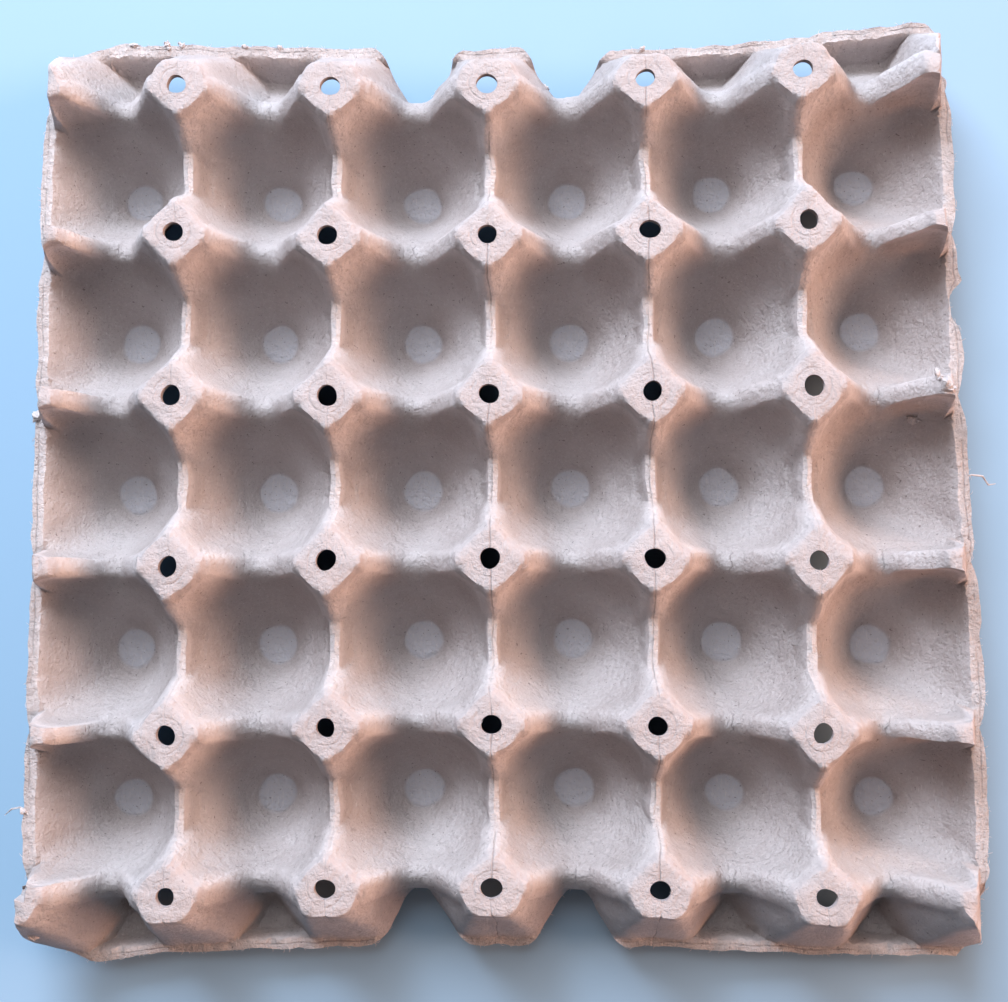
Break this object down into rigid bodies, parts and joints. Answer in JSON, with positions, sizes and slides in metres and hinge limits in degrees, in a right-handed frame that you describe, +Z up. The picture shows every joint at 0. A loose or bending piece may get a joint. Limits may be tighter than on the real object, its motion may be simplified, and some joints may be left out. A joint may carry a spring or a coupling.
{
  "type": "pulp egg tray",
  "caption": "Moulded pulp egg tray with round cells between hollow posts, ridges and saddles, low lips with finger gaps at the front and back, and worn, frayed edges.",
  "frame": {"origin": "centre of the bounding box in plan, on the plane that the cell feet rest on", "axes": "+Z up out of the cells, +X across the columns, +Y towards the back edge, which is the picture's top edge"},
  "size_m": [0.2884, 0.292, 0.0486],
  "materials": {
    "pulp": "matte, felted recycled pulp with specks and fibres"
  },
  "bodies": {
    "root": {"tray": "pulp"}
  },
  "joints": []
}
